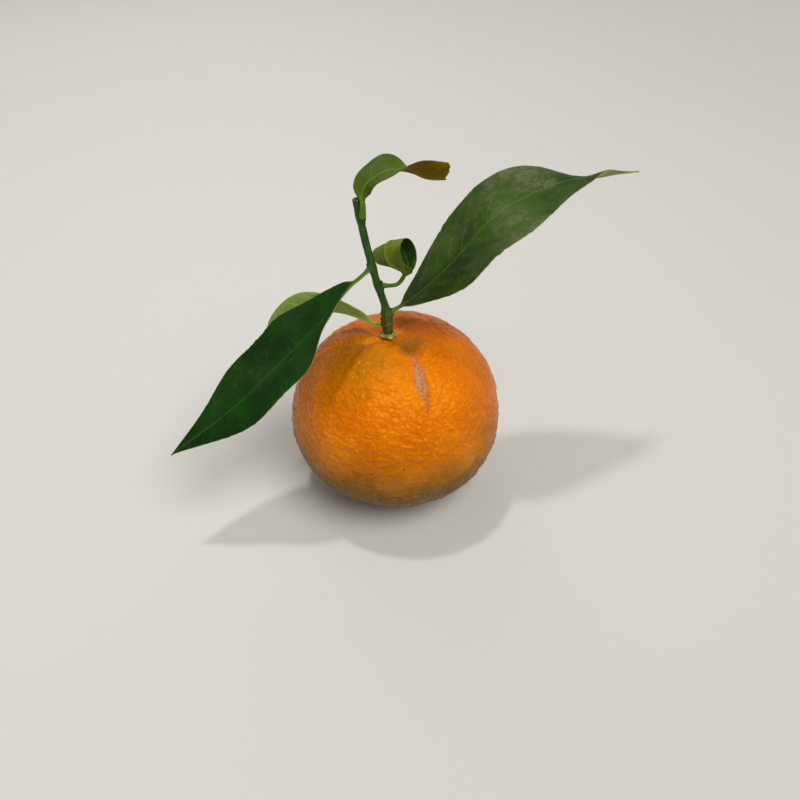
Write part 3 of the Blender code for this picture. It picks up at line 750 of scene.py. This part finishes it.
def stem_radius(height):
    """The twig's radius at a height, without its knuckles."""
    woody = 1.0 - smooth_step((height - WOODY_TOP_Z) / 3.0)
    radius = GREEN_RADIUS + (WOODY_RADIUS - GREEN_RADIUS) * woody
    for node_height, _ in LEAF_NODES.values():
        radius += 0.16 * math.exp(-(((height - node_height) / 1.3) ** 2))
    return float(radius)


class CLEMENTINE_OT_twig(bpy.types.Operator):
    """Builds the twig: bark ridges, a knuckle and a bud at each leaf, and the cut end"""

    bl_idname = "clementine.twig"
    bl_label = "Twig"

    def execute(self, context):
        settings = context.scene.clementine_twig
        rows, _ = stations_along(STEM_LINE, settings.stations)
        bm = bmesh.new()
        bmesh.ops.create_cone(bm, cap_ends=True, segments=56, radius1=1.0, radius2=1.0, depth=2.0)
        sides = [edge for edge in bm.edges if abs(edge.verts[0].co.z - edge.verts[1].co.z) > 1.0]
        bmesh.ops.subdivide_edges(bm, edges=sides, cuts=settings.stations - 1)
        caps = [face for face in bm.faces if len(face.verts) > 4]
        cut_end = max(caps, key=lambda face: face.calc_center_median().z)
        # The cut end has a rim of bark and a core of pith, in shares of the radius
        rim = bmesh.ops.inset_region(bm, faces=[cut_end], thickness=0.12, depth=0.0)["faces"]
        pith = bmesh.ops.inset_region(bm, faces=[cut_end], thickness=0.5, depth=0.0)["faces"]
        for face in [cut_end, *pith]:
            face.material_index = 1
        rim_vertices = {vertex for face in rim for vertex in face.verts}
        inner = {vertex for face in [cut_end, *pith] for vertex in face.verts}
        core = set(cut_end.verts)
        for vertex in bm.verts:
            station = round(0.5 * (vertex.co.z + 1.0) * settings.stations)
            x, y, height = rows[station]
            around = math.atan2(vertex.co.y, vertex.co.x)
            outward = Vector((math.cos(around), math.sin(around), 0.0))
            radius = stem_radius(height)
            for node_height, heading in LEAF_NODES.values():
                facing = max(0.0, outward.dot(Vector((*heading, 0.0)).normalized()))
                radius += 0.42 * facing**2 * math.exp(-(((height - node_height + 0.3) / 1.0) ** 2))
            woody = 1.0 - smooth_step((height - WOODY_TOP_Z - 2.0) / 5.0)
            ridge = noise.noise(Vector((3.2 * math.cos(around), 3.2 * math.sin(around), height / 4.0)))
            knobs = noise.noise(Vector((1.6 * math.cos(around), 1.6 * math.sin(around), height / 0.9)))
            relief = settings.bark_relief / MM
            radius += relief * (ridge * (0.8 + 1.2 * woody) + knobs * (0.4 + 1.0 * woody))
            # A ring scar where an earlier leaf pair fell, and a last shrink towards the dried cut
            radius -= 0.12 * math.exp(-(((height - RING_SCAR_Z) / 0.25) ** 2))
            radius *= 1.0 - 0.1 * math.exp(-(((height - CUT_Z) / 0.8) ** 2))
            tilt = 0.0
            if vertex in inner or vertex in rim_vertices:
                radius *= math.hypot(vertex.co.x, vertex.co.y)
                tilt = -0.1 if vertex in core else (0.1 if vertex in inner else 0.0)
            place = Vector((x, y, height + tilt)) + outward * radius
            # The cut is not quite square to the twig
            if station == settings.stations:
                place.z += 0.16 * math.cos(around - 0.6) * radius
            vertex.co = place
        for node_height, heading in LEAF_NODES.values():
            outward = Vector((*heading, 0.0)).normalized()
            bud = bmesh.ops.create_uvsphere(bm, u_segments=18, v_segments=12, radius=1.0)["verts"]
            foot = stem_axis(node_height + 0.9) + outward * (stem_radius(node_height + 0.9) + 0.04)
            lean = (outward * 0.25 + Vector((0.0, 0.0, 1.0))).normalized()
            across = lean.cross(outward).normalized()
            out = across.cross(lean)
            for vertex in bud:
                pointed = 1.0 - 0.35 * max(0.0, vertex.co.z)
                width, depth, rise = [half * v for half, v in zip(BUD_HALF, vertex.co)]
                vertex.co = foot + across * (width * pointed) + out * (depth * pointed) + lean * rise
        new_piece("clementine_twig", bm, [twig_material(), cut_wood_material()], "stem", 50.0)
        return {"FINISHED"}


# The curled leaf's roll, in millimetres and degrees
LOOP_AXIS = (0.82, -0.4235, 0.381)
LOOP_UP = (0.0, 0.669, 0.743)
LOOP_CENTRE = (4.1, 5.3, 77.5)
LOOP_RADIUS = 5.0
LOOP_END_RADIUS = 4.6
LOOP_START = -65.0
LOOP_END = 250.0
LOOP_PITCH = 1.2
LOOP_FLARE = 0.18
LOOP_POINTS = 12
CURLED_WIDTH = 10.0
CURLED_OUTLINE = (0.34, 0.42)


def outline_share(share, outline):
    """A leaf's width at a share of its blade, as a part of its full width.

    outline is where along the blade it is widest, and how slim it is: a slimmer one has a longer drip tip."""
    widest_at, slimness = outline
    rise = (share / widest_at) ** slimness
    return rise * ((1.0 - share) / (1.0 - widest_at)) ** (slimness * (1.0 - widest_at) / widest_at)


def loop_knots():
    """The curled leaf's midrib after its stalk: nearly a full turn round the roll's axis.

    One edge stays close to a plane across the axis, so the midrib keeps half the leaf's width from it."""
    axis = Vector(LOOP_AXIS).normalized()
    up = Vector(LOOP_UP).normalized()
    near = axis.cross(up)
    knots = []
    for i in range(LOOP_POINTS + 1):
        share = i / LOOP_POINTS
        turn = math.radians(LOOP_START + (LOOP_END - LOOP_START) * share)
        radius = LOOP_RADIUS + (LOOP_END_RADIUS - LOOP_RADIUS) * share
        outward = near * math.cos(turn) + up * math.sin(turn)
        half_width = 0.5 * CURLED_WIDTH * outline_share(share, CURLED_OUTLINE)
        back = half_width + LOOP_PITCH * share * share
        place = Vector(LOOP_CENTRE) + outward * (radius - LOOP_FLARE * half_width) - axis * back
        knots.append((*place, *(-outward)))
    return knots


# Each leaf: width, where it is widest with its slimness, stalk length, fold of the halves at base and tip, waves
# with their height and start, the share of the blade that is left, how ragged its end is, whether it is rolled, the
# finishes of its two faces, and the midrib's knots: a place, then the way that the upper face looks there.
LEAVES = {
    "leaf_right": {
        "width": 25.5,
        "outline": (0.37, 1.0),
        "stalk": 3.0,
        "stalk_radius": 0.6,
        "fuller": (0.2, 0.6),
        "fold": (5.0, -2.0),
        "wave": (3.0, 0.7, 0.1),
        "kept": 1.0,
        "torn": 0.0,
        "rolled": False,
        "finish": ("dark", "pale"),
        "slot": "leaf_dark",
        "knots": (
            (2.2, 1.3, 64.5, *LEVEL),
            (9.6, 3.7, 69.8, *LEVEL),
            (16.6, 6.0, 76.3, *LEVEL),
            (22.2, 7.8, 83.0, 0.0, -0.05, 1.0),
            (26.9, 9.3, 87.3, 0.0, -0.12, 1.0),
            (32.6, 11.2, 90.1, 0.0, -0.15, 1.0),
            (39.7, 13.5, 92.4, 0.0, -0.1, 1.0),
            (46.5, 15.7, 93.4, 0.0, 0.15, 1.0),
            (52.5, 17.7, 93.6, 0.0, 0.65, 0.75),
            (58.4, 19.6, 93.3, 0.0, 0.78, 0.6),
            (64.4, 21.5, 92.8, 0.0, 0.8, 0.55),
        ),
    },
    "leaf_left": {
        "width": 23.0,
        "outline": (0.42, 0.85),
        "stalk": 5.0,
        "stalk_radius": 0.55,
        "fuller": (0.0, 0.0),
        "fold": (22.0, 0.0),
        "wave": (2.5, 0.7, 0.6),
        "kept": 1.0,
        "torn": 0.0,
        "rolled": False,
        "finish": ("deep", "pale"),
        "slot": "leaf_dark",
        "knots": (
            (-8.7, -1.2, 74.6, -0.8, -0.1, 0.5),
            (-10.6, -1.8, 73.2, -0.8, -0.1, 0.5),
            (-14.8, -3.7, 68.8, -0.7, -0.15, 0.6),
            (-20.0, -6.2, 62.9, -0.5, -0.1, 0.8),
            (-24.8, -8.5, 58.8, -0.1, -0.1, 1.0),
            (-31.1, -11.5, 53.6, 0.0, -0.1, 1.0),
            (-39.8, -15.5, 46.2, 0.05, -0.2, 1.0),
            (-48.6, -19.6, 40.3, 0.05, -0.2, 1.0),
            (-55.7, -23.0, 36.4, 0.05, -0.2, 1.0),
            (-60.1, -25.0, 33.9, 0.05, -0.2, 1.0),
        ),
    },
    "leaf_top": {
        "width": 11.5,
        "outline": (0.42, 0.8),
        "stalk": 4.0,
        "stalk_radius": 0.75,
        "fuller": (0.0, 0.0),
        "fold": (15.0, 28.0),
        "wave": (1.5, 0.2, 0.3),
        "kept": 0.72,
        "torn": 1.0,
        "rolled": False,
        "finish": ("young", "olive"),
        "slot": "leaf_young",
        "knots": (
            (-7.3, -0.8, 94.0, -0.1, -0.74, 0.67),
            (-7.4, -0.5, 96.4, -0.2, -0.7, 0.67),
            (-6.7, 0.1, 98.8, -0.3, -0.5, 0.75),
            (-4.3, 0.8, 100.8, -0.2, -0.2, 1.0),
            (-1.9, 1.3, 101.9, 0.0, -0.1, 1.0),
            (0.7, 1.9, 102.2, 0.0, 0.1, 0.97),
            (4.2, 2.6, 101.4, 0.0, 0.48, 0.86),
            (8.7, 3.5, 99.5, 0.0, 0.74, 0.67),
            (13.3, 4.5, 99.2, 0.0, 0.82, 0.56),
        ),
    },
    "leaf_curled": {
        "width": CURLED_WIDTH,
        "outline": CURLED_OUTLINE,
        "stalk": 8.0,
        "stalk_radius": 0.55,
        "fuller": (0.0, 0.0),
        "fold": (6.0, 4.0),
        "wave": (1.5, 0.3, 0.2),
        "kept": 1.0,
        "torn": 0.0,
        "rolled": True,
        "finish": ("shaded", "moss"),
        "slot": "leaf_young",
        "knots": (
            (-1.0, 0.6, 71.1, 0.24, 0.86, 0.44),
            (1.0, 1.2, 71.2, 0.24, 0.86, 0.44),
            (2.4, 1.5, 72.9, 0.24, 0.86, 0.44),
            *loop_knots(),
        ),
    },
    "leaf_low": {
        "width": 14.0,
        "outline": (0.44, 1.2),
        "stalk": 3.0,
        "stalk_radius": 0.5,
        "fuller": (0.0, 0.0),
        "fold": (34.0, 8.0),
        "wave": (2.0, 0.5, 0.0),
        "kept": 1.0,
        "torn": 0.0,
        "rolled": False,
        "finish": ("fresh", "fresh_under"),
        "slot": "leaf_young",
        "knots": (
            (-5.0, 0.6, 59.0, 0.2, 0.67, 0.74),
            (-7.9, 1.2, 59.9, 0.2, 0.67, 0.74),
            (-11.4, 1.9, 61.0, 0.2, 0.7, 0.74),
            (-15.2, 2.7, 61.5, 0.2, 0.8, 0.65),
            (-20.6, 3.9, 60.6, 0.2, 0.8, 0.55),
            (-27.0, 5.2, 58.0, 0.2, 0.8, 0.5),
            (-33.4, 6.6, 53.0, 0.2, 0.8, 0.5),
            (-38.4, 7.7, 47.0, 0.2, 0.8, 0.5),
        ),
    },
}

# Each finish: the blade's two greens, its veins, its stalk, roughness, specks, how much its veins show,
# painted sheen with painted shade at its tip, and gloss
FINISHES = {
    "dark": ("mature leaf, upper skin, waxy", "#223802", "#304e03", "#4e6a1e", "#4f741c", 0.34, 0.45, 0.2, 0.65, 0.24),
    "deep": (
        "mature leaf, upper skin, shaded",
        "#092a02", "#103c03", "#2a5214", "#4f741c", 0.38, 0.45, 0.16, 0.1, 0.14,
    ),
    "pale": ("mature leaf, lower skin, dull", "#73883c", "#8c9d50", "#a9b672", "#7f9a3a", 0.55, 0.15, 0.9, 0.0, 0.25),
    "young": ("young leaf, upper skin", "#3a4e04", "#4b6206", "#667c22", "#5a7a1c", 0.42, 0.3, 0.35, 0.0, 0.22),
    "olive": ("drying leaf, lower skin", "#634e00", "#766000", "#86721a", "#6c6a12", 0.55, 0.1, 0.4, 0.0, 0.15),
    "shaded": ("curled leaf, inner skin", "#143806", "#22500a", "#44682a", "#44701a", 0.42, 0.3, 0.4, 0.0, 0.2),
    "moss": ("curled leaf, outer skin", "#556410", "#687818", "#808c34", "#44701a", 0.5, 0.1, 0.6, 0.0, 0.2),
    "fresh": ("tender leaf, upper skin", "#80ac34", "#96c04c", "#b0d078", "#7aa032", 0.45, 0.2, 0.5, 0.0, 0.3),
    "fresh_under": ("tender leaf, lower skin", "#84a248", "#98b25a", "#aec278", "#7c9e3e", 0.55, 0.1, 0.9, 0.0, 0.3),
}


def section_point(leaf, distance, length, across, side, thickness, seed):
    """(across, up, off midrib) of a leaf's section: a round stalk that opens into a folded, waved blade.

    across runs from -1 to 1 over the leaf, and side is 1 on its upper face and -1 on its lower one."""
    stalk = leaf["stalk"]
    foot = 1.0 - float(smooth_step(distance / 2.6))
    round_radius = leaf["stalk_radius"] + 0.3 * foot
    turn = 0.5 * math.pi * across
    round_across = round_radius * math.sin(turn)
    round_up = side * round_radius * math.cos(turn)
    if side > 0.0:
        round_up -= 0.22 * math.exp(-((across / 0.35) ** 2)) * (1.0 - foot)

    along = min(1.0, max(0.0, (distance - stalk) / (length - stalk))) * leaf["kept"]
    half_width = max(0.1, 0.5 * leaf["width"] * outline_share(along, leaf["outline"]))
    if across > 0.0:
        half_width *= 1.0 + leaf["fuller"][0] * math.exp(-(((along - 0.62) / 0.2) ** 2))
    else:
        half_width *= 1.0 + leaf["fuller"][1] * math.exp(-(((along - 0.84) / 0.07) ** 2))
    half_width *= 1.0 + 0.022 * noise.noise(Vector((distance / 1.4, 5.0 * math.copysign(1.0, across), seed)))
    off_rib = half_width * across
    fold = math.radians(leaf["fold"][0] * (1.0 - along) + leaf["fold"][1] * along)
    waves, height, start = leaf["wave"]
    phase = 2.0 * math.pi * (waves * along + start + (0.31 if across > 0.0 else 0.0))
    lift = half_width * math.sin(fold) * (math.hypot(across, 0.1) - 0.1)
    lift += height * across * across * math.sin(phase) * min(1.0, 2.0 * half_width / leaf["width"])
    # The blade puckers up between its side veins, and undulates a little
    spacing = bpy.context.scene.clementine_leaves.vein_spacing / MM
    slanted = distance - VEIN_SLANT * abs(off_rib) - VEIN_BEND * off_rib * off_rib
    course = (slanted + VEIN_STAGGER * math.copysign(1.0, across)) / spacing
    inside = math.exp(-((across / 0.86) ** 8)) * min(1.0, abs(off_rib) / 2.0) * min(1.0, half_width / 4.0)
    lift += 0.07 * inside * math.cos(2.0 * math.pi * course)
    sway = noise.noise(Vector((distance / 9.0, off_rib / 6.0, seed + 4.0)))
    lift += 0.3 * min(1.0, half_width / 6.0) * sway * min(1.0, abs(off_rib) / 3.0)
    # The midrib lies in a groove above and stands out as a rib below
    slender = 1.0 - 0.75 * along
    groove = 0.16 * slender * math.exp(-((off_rib / 0.55) ** 2)) if side > 0.0 else 0.0
    rib = 0.4 * slender * math.exp(-((off_rib / 0.5) ** 2)) if side < 0.0 else 0.0
    edge = 1.0 - 0.6 * abs(across) ** 6
    blade_up = lift + 0.5 * side * thickness * edge - groove - rib
    blade_across = half_width * math.cos(fold) * across

    opened = float(smooth_step((distance - stalk + 1.0) / 4.0))
    return (
        round_across + (blade_across - round_across) * opened,
        round_up + (blade_up - round_up) * opened,
        off_rib,
        opened,
    )


def build_leaf(name, leaf, finishes, seed):
    """A leaf: a fine grid of two faces laid along its midrib, with its own map in millimetres."""
    settings = bpy.context.scene.clementine_leaves
    stations = settings.stations
    height, heading = LEAF_NODES[name]
    outward = Vector((*heading, 0.0)).normalized()
    foot = stem_axis(height) + outward * 0.5
    knots = [(*foot, *leaf["knots"][0][3:])] + list(leaf["knots"])
    rows, length = stations_along(knots, stations)
    places = rows[:, :3]
    onward = np.gradient(places, axis=0)
    onward /= np.linalg.norm(onward, axis=1)[:, None]
    facing = rows[:, 3:] - onward * (rows[:, 3:] * onward).sum(axis=1)[:, None]
    facing /= np.linalg.norm(facing, axis=1)[:, None]
    sideways = np.cross(facing, onward)
    if leaf["rolled"]:
        opened = smooth_step((np.arange(stations + 1) * length / stations - leaf["stalk"]) / 4.0)[:, None]
        sideways += (np.array(LOOP_AXIS) - LOOP_FLARE * facing - sideways) * opened

    bm = bmesh.new()
    bmesh.ops.create_grid(bm, x_segments=stations, y_segments=settings.across, size=1.0)
    upper = bmesh.ops.extrude_face_region(bm, geom=bm.faces[:])["geom"]
    upper_vertices = [element for element in upper if isinstance(element, bmesh.types.BMVert)]
    bmesh.ops.translate(bm, verts=upper_vertices, vec=(0.0, 0.0, 1.0))
    bmesh.ops.recalc_face_normals(bm, faces=bm.faces)
    for face in bm.faces:
        face.material_index = 0 if all(vertex.co.z > 0.5 for vertex in face.verts) else 1
    map_layer = bm.loops.layers.uv.new("leaf_mm")
    stalk_layer = bm.verts.layers.float.new("stalk")
    margin_layer = bm.verts.layers.float.new("margin")
    on_map = {}
    for vertex in bm.verts:
        station = round(0.5 * (vertex.co.x + 1.0) * stations)
        side = 1.0 if vertex.co.z > 0.5 else -1.0
        across = vertex.co.y
        distance = length * station / stations
        offset, up, off_rib, blade = section_point(leaf, distance, length, across, side, settings.thickness / MM, seed)
        place = places[station] + sideways[station] * offset + facing[station] * up
        if leaf["torn"]:
            ragged = 0.5 + 0.5 * math.sin(4.0 * across + 1.0) + 0.5 * noise.noise(Vector((6.0 * across, 2.0, seed)))
            near_end = float(smooth_step((station / stations - 0.9) / 0.1))
            place = place - onward[station] * leaf["torn"] * ragged * near_end
        vertex.co = place
        vertex[stalk_layer] = 1.0 - blade
        vertex[margin_layer] = abs(across)
        on_map[vertex] = (distance / 100.0, 0.5 + off_rib / 100.0)
    for face in bm.faces:
        for loop in face.loops:
            loop[map_layer].uv = on_map[loop.vert]
    materials = [finishes[finish] for finish in leaf["finish"]]
    return new_piece("clementine_" + name, bm, materials, name, 60.0)


class CLEMENTINE_OT_leaves(bpy.types.Operator):
    """Builds the five leaves with their stalks, veins, folds and waves"""

    bl_idname = "clementine.leaves"
    bl_label = "Leaves"

    def execute(self, context):
        finishes = {key: leaf_material(*values) for key, values in FINISHES.items()}
        for seed, (name, leaf) in enumerate(LEAVES.items()):
            build_leaf(name, leaf, finishes, 10.0 * seed)
        return {"FINISHED"}


def add_light(name, place, size, power):
    """A square soft light that looks at the object's middle."""
    light = bpy.data.lights.new(name, "AREA")
    light.shape = "SQUARE"
    light.size = size
    light.energy = power
    light.color = linear(LIGHT_COLOUR)
    holder = bpy.data.objects.new(name, light)
    holder.location = place
    holder.rotation_euler = (Vector(LIGHTS_AIM) - Vector(place)).to_track_quat("-Z", "Y").to_euler()
    bpy.context.scene.collection.objects.link(holder)


class CLEMENTINE_OT_stage(bpy.types.Operator):
    """Sets the pale floor, the soft lights and the camera"""

    bl_idname = "clementine.stage"
    bl_label = "Stage"

    def execute(self, context):
        settings = context.scene.clementine_stage
        bm = bmesh.new()
        bmesh.ops.create_grid(bm, x_segments=1, y_segments=1, size=20.0)
        mesh = bpy.data.meshes.new("floor")
        bm.to_mesh(mesh)
        bm.free()
        mesh.materials.append(floor_material())
        floor = bpy.data.objects.new("floor", mesh)
        context.scene.collection.objects.link(floor)

        world = bpy.data.worlds.new("studio")
        world.use_nodes = True
        background = world.node_tree.nodes["Background"]
        background.inputs["Color"].default_value = (*linear(LIGHT_COLOUR), 1.0)
        # The walls light the object softly, and look as pale as the floor where a low view shows them
        direct = add_node(world.node_tree, "LightPath", output="Is Camera Ray")
        strength = add_node(world.node_tree, "MapRange", {0: direct, 3: WALL_LIGHT, 4: WALL_SEEN})
        world.node_tree.links.new(strength, background.inputs["Strength"])
        context.scene.world = world
        # The main light is wide and far away, so the floor is lit evenly
        key = bpy.data.lights.new("key", "SUN")
        key.energy = settings.key_power
        key.angle = math.radians(KEY_WIDTH)
        key.color = linear(LIGHT_COLOUR)
        holder = bpy.data.objects.new("key", key)
        holder.rotation_euler = Vector(KEY_FROM).to_track_quat("Z", "Y").to_euler()
        context.scene.collection.objects.link(holder)
        for name, (place, width, power) in LIGHTS.items():
            add_light(name, place, width, power)

        # The camera looks 42 degrees down from the front
        camera_data = bpy.data.cameras.new("camera")
        camera_data.lens = CAMERA_LENS
        camera_data.sensor_width = 36.0
        camera_data.clip_start = 0.01
        camera = bpy.data.objects.new("camera", camera_data)
        toward = Vector((0.0, -math.cos(CAMERA_DOWN), math.sin(CAMERA_DOWN)))
        up = Vector((0.0, math.sin(CAMERA_DOWN), math.cos(CAMERA_DOWN)))
        middle = (Vector(CAMERA_AIM) + up * CAMERA_RISE) * MM
        camera.location = middle + toward * settings.distance
        camera.rotation_euler = (0.5 * math.pi - CAMERA_DOWN, 0.0, 0.0)
        context.scene.collection.objects.link(camera)
        context.scene.camera = camera
        context.scene.view_settings.view_transform = "Standard"
        return {"FINISHED"}


class CLEMENTINE_PT_panel(bpy.types.Panel):
    bl_idname = "CLEMENTINE_PT_panel"
    bl_label = "Clementine"
    bl_space_type = "VIEW_3D"
    bl_region_type = "UI"
    bl_category = "Clementine"

    def draw(self, context):
        scene = context.scene
        for title, settings, operators in (
            ("Fruit", scene.clementine_fruit, ("clementine.fruit", "clementine.calyx")),
            ("Twig", scene.clementine_twig, ("clementine.twig",)),
            ("Leaves", scene.clementine_leaves, ("clementine.leaves",)),
            ("Stage", scene.clementine_stage, ("clementine.stage",)),
        ):
            box = self.layout.box()
            box.label(text=title)
            for name in settings.__annotations__:
                box.prop(settings, name)
            for operator in operators:
                box.operator(operator)


GROUPS = {
    "clementine_fruit": FruitSettings,
    "clementine_twig": TwigSettings,
    "clementine_leaves": LeafSettings,
    "clementine_stage": StageSettings,
}
CLASSES = (
    *GROUPS.values(),
    CLEMENTINE_OT_fruit,
    CLEMENTINE_OT_calyx,
    CLEMENTINE_OT_twig,
    CLEMENTINE_OT_leaves,
    CLEMENTINE_OT_stage,
    CLEMENTINE_PT_panel,
)


def register():
    for cls in CLASSES:
        bpy.utils.register_class(cls)
    for name, settings in GROUPS.items():
        setattr(bpy.types.Scene, name, bpy.props.PointerProperty(type=settings))


def unregister():
    for name in GROUPS:
        delattr(bpy.types.Scene, name)
    for cls in reversed(CLASSES):
        bpy.utils.unregister_class(cls)


def main():
    register()
    bpy.ops.clementine.stage()
    bpy.ops.clementine.fruit()
    bpy.ops.clementine.calyx()
    bpy.ops.clementine.twig()
    bpy.ops.clementine.leaves()


if __name__ == "__main__":
    main()
